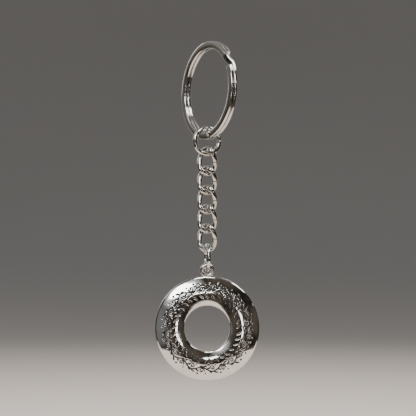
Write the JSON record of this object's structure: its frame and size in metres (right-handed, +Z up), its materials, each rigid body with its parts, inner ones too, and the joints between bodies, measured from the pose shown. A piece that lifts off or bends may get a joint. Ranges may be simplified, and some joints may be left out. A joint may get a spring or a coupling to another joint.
{
  "type": "key ring with curb chain and ring pendant",
  "caption": "Polished metal key ring: a split ring, a short twisted curb chain on jump rings, and a domed ring-shaped pendant that hangs and swings from it.",
  "frame": {"origin": "hang point: the highest point of the split ring's inner surface, where a hook or pin touches it", "axes": "+Z up, against gravity, towards the hook; +X to the right; the pendant's front face looks along -Y"},
  "size_m": [0.032, 0.0267, 0.1036],
  "materials": {
    "split_ring_nickel": "bright nickel plate on spring steel, polished, with fine wear along the edges",
    "jump_ring_nickel": "bright nickel plate on round wire",
    "chain_nickel": "bright nickel plate on twisted round wire",
    "pendant_chrome": "mirror-polished plate on a cast body, with dark patina in the engraved lines"
  },
  "bodies": {
    "split_ring": {"split_ring": "split_ring_nickel"},
    "top_jump_ring": {"top_jump_ring": "jump_ring_nickel"},
    "chain_link_1": {"chain_link_1": "chain_nickel"},
    "chain_link_2": {"chain_link_2": "chain_nickel"},
    "chain_link_3": {"chain_link_3": "chain_nickel"},
    "chain_link_4": {"chain_link_4": "chain_nickel"},
    "chain_link_5": {"chain_link_5": "chain_nickel"},
    "lower_jump_ring": {"lower_jump_ring": "jump_ring_nickel"},
    "pendant": {"pendant": "pendant_chrome"}
  },
  "joints": [
    {"name": "top_jump_ring_swing", "type": "hinge", "parent": "split_ring", "child": "top_jump_ring", "pos_m": [-0.00093, -0.00055, -0.02668], "axis": [0.5125, -0.8587, 0], "range_deg": [-120, 120]},
    {"name": "chain_link_1_swing", "type": "hinge", "parent": "top_jump_ring", "child": "chain_link_1", "pos_m": [-0.00093, -0.00055, -0.03226], "axis": [0.9455, 0.3256, 0], "range_deg": [-70, 60]},
    {"name": "chain_link_2_swing", "type": "hinge", "parent": "chain_link_1", "child": "chain_link_2", "pos_m": [-0.00093, -0.00055, -0.03819], "axis": [-0.8192, -0.5736, 0], "range_deg": [-42, 42]},
    {"name": "chain_link_3_swing", "type": "hinge", "parent": "chain_link_2", "child": "chain_link_3", "pos_m": [-0.00093, -0.00055, -0.04242], "axis": [-0.5736, 0.8192, 0], "range_deg": [-42, 42]},
    {"name": "chain_link_4_swing", "type": "hinge", "parent": "chain_link_3", "child": "chain_link_4", "pos_m": [-0.00093, -0.00055, -0.04993], "axis": [0.8192, 0.5736, 0], "range_deg": [-42, 42]},
    {"name": "chain_link_5_swing", "type": "hinge", "parent": "chain_link_4", "child": "chain_link_5", "pos_m": [-0.00093, -0.00055, -0.05416], "axis": [0.5736, -0.8192, 0], "range_deg": [-42, 42]},
    {"name": "lower_jump_ring_swing", "type": "hinge", "parent": "chain_link_5", "child": "lower_jump_ring", "pos_m": [-0.00093, -0.00055, -0.06167], "axis": [-0.8192, -0.5736, 0], "range_deg": [-56, 56]},
    {"name": "pendant_swing", "type": "hinge", "parent": "lower_jump_ring", "child": "pendant", "pos_m": [-0.00093, -0.00055, -0.06757], "axis": [-0.1392, 0.9903, 0], "range_deg": [-85, 85]}
  ]
}
